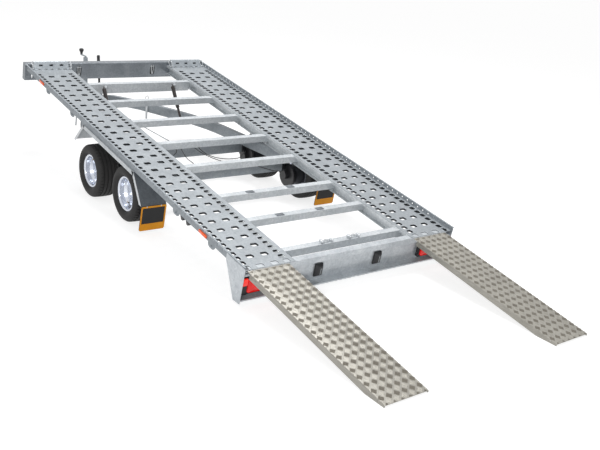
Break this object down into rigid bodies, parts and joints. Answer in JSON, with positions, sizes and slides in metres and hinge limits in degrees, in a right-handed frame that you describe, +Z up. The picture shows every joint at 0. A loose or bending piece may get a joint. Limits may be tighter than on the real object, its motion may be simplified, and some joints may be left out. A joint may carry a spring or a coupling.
{
  "type": "tilting-bed car trailer",
  "caption": "Twin-axle trailer for carrying a car, with perforated wheel tracks on a tilting bed, loading ramps, an overrun drawbar and a jockey wheel.",
  "frame": {"origin": "on the ground, under the middle of the overall bounding box", "axes": "+X to the trailer's right, +Y forwards to the coupling, +Z up"},
  "size_m": [2, 6.6926, 0.9454],
  "materials": {
    "galvanised_steel": "hot-dip galvanised, matt with a soft sheen",
    "chequer_aluminium": "mill-finish chequer plate",
    "rim_silver": "silver paint",
    "tyre_rubber": "matt",
    "black_rubber": "matt",
    "black_paint": "semi-gloss black",
    "black_plastic": "matt",
    "lamp_red": "clear red lens"
  },
  "bodies": {
    "chassis": {"drawbar_arm_left": "galvanised_steel", "drawbar_arm_right": "galvanised_steel", "front_plate": "galvanised_steel", "overrun_housing": "galvanised_steel", "drawbar_gaiter": "black_rubber", "coupling_head": "galvanised_steel", "handbrake_lever": "black_plastic", "jockey_tube": "galvanised_steel", "axle_front": "galvanised_steel", "axle_rear": "galvanised_steel", "damper_crossbar": "galvanised_steel", "knuckle_front_left": "black_paint", "knuckle_front_right": "black_paint", "knuckle_rear_left": "black_paint", "knuckle_rear_right": "black_paint"},
    "bed": {"front_beam": "galvanised_steel", "rear_beam": "galvanised_steel", "outer_rail_left": "galvanised_steel", "outer_rail_right": "galvanised_steel", "track_left": "galvanised_steel", "track_right": "galvanised_steel", "wheel_stop_left": "galvanised_steel", "wheel_stop_right": "galvanised_steel", "mudguard_left": "galvanised_steel", "mudguard_right": "galvanised_steel", "mud_flap_left": "black_rubber", "mud_flap_right": "black_rubber", "rear_lamp_left": "black_plastic", "rear_lamp_right": "black_plastic", "lamp_lens_left": "lamp_red", "lamp_lens_right": "lamp_red", "plate_lamp_left": "black_plastic", "plate_lamp_right": "black_plastic", "crossmember_1": "galvanised_steel", "crossmember_2": "galvanised_steel", "crossmember_3": "galvanised_steel", "crossmember_4": "galvanised_steel", "crossmember_5": "galvanised_steel", "crossmember_6": "galvanised_steel", "crossmember_7": "galvanised_steel", "damper_beam": "galvanised_steel"},
    "wheel_rear_left": {"rim_rear_left": "rim_silver", "tyre_rear_left": "tyre_rubber"},
    "wheel_rear_right": {"rim_rear_right": "rim_silver", "tyre_rear_right": "tyre_rubber"},
    "wheel_front_left": {"rim_front_left": "rim_silver", "tyre_front_left": "tyre_rubber"},
    "wheel_front_right": {"rim_front_right": "rim_silver", "tyre_front_right": "tyre_rubber"},
    "jockey_leg": {"jockey_fork": "galvanised_steel"},
    "jockey_roller": {"jockey_wheel": "black_rubber"},
    "ramp_left": {"ramp_left": "chequer_aluminium"},
    "ramp_right": {"ramp_right": "chequer_aluminium"},
    "damper_tube_left": {"damper_tube_left": "black_paint"},
    "damper_rod_left": {"damper_rod_left": "black_paint"},
    "damper_tube_right": {"damper_tube_right": "black_paint"},
    "damper_rod_right": {"damper_rod_right": "black_paint"}
  },
  "joints": [
    {"name": "bed_tilt", "type": "hinge", "parent": "chassis", "child": "bed", "pos_m": [0, 0.17933, 0.5], "axis": [1, 0, 0], "range_deg": [-8.78, 0]},
    {"name": "wheel_rear_left_spin", "type": "hinge", "parent": "chassis", "child": "wheel_rear_left", "pos_m": [-0.88, -0.16267, 0.234], "axis": [1, 0, 0], "continuous": true},
    {"name": "wheel_rear_right_spin", "type": "hinge", "parent": "chassis", "child": "wheel_rear_right", "pos_m": [0.88, -0.16267, 0.234], "axis": [1, 0, 0], "continuous": true},
    {"name": "wheel_front_left_spin", "type": "hinge", "parent": "chassis", "child": "wheel_front_left", "pos_m": [-0.88, 0.52133, 0.234], "axis": [1, 0, 0], "continuous": true},
    {"name": "wheel_front_right_spin", "type": "hinge", "parent": "chassis", "child": "wheel_front_right", "pos_m": [0.88, 0.52133, 0.234], "axis": [1, 0, 0], "continuous": true},
    {"name": "jockey_swivel", "type": "hinge", "parent": "chassis", "child": "jockey_leg", "pos_m": [-0.118, 2.57633, 0.3], "axis": [0, 0, 1], "continuous": true},
    {"name": "jockey_spin", "type": "hinge", "parent": "jockey_leg", "child": "jockey_roller", "pos_m": [-0.118, 2.54632, 0.1], "axis": [1, 0, 0], "continuous": true},
    {"name": "ramp_left_hinge", "type": "hinge", "parent": "bed", "child": "ramp_left", "pos_m": [-0.795, -1.96814, 0.26196], "axis": [-1, 0, 0], "range_deg": [-23, 80]},
    {"name": "ramp_right_hinge", "type": "hinge", "parent": "bed", "child": "ramp_right", "pos_m": [0.743, -1.96814, 0.26196], "axis": [-1, 0, 0], "range_deg": [-23, 80]},
    {"name": "damper_left_pivot", "type": "hinge", "parent": "bed", "child": "damper_tube_left", "pos_m": [-0.415, 1.46053, 0.76319], "axis": [-1, 0, 0], "range_deg": [0, 20.95]},
    {"name": "damper_left_slide", "type": "slide", "parent": "damper_tube_left", "child": "damper_rod_left", "axis": [0, -0.5494, -0.8356], "range_m": [-0.1182, 0]},
    {"name": "damper_right_pivot", "type": "hinge", "parent": "bed", "child": "damper_tube_right", "pos_m": [0.345, 1.46053, 0.76319], "axis": [-1, 0, 0], "range_deg": [0, 20.95]},
    {"name": "damper_right_slide", "type": "slide", "parent": "damper_tube_right", "child": "damper_rod_right", "axis": [0, -0.5494, -0.8356], "range_m": [-0.1182, 0]}
  ],
  "couplings": [
    {"joint": "damper_left_pivot", "follows": "bed_tilt", "ratio": -2.3771},
    {"joint": "damper_left_slide", "follows": "bed_tilt", "m_per_rad": 0.76816},
    {"joint": "damper_right_pivot", "follows": "bed_tilt", "ratio": -2.3771},
    {"joint": "damper_right_slide", "follows": "bed_tilt", "m_per_rad": 0.76816}
  ]
}
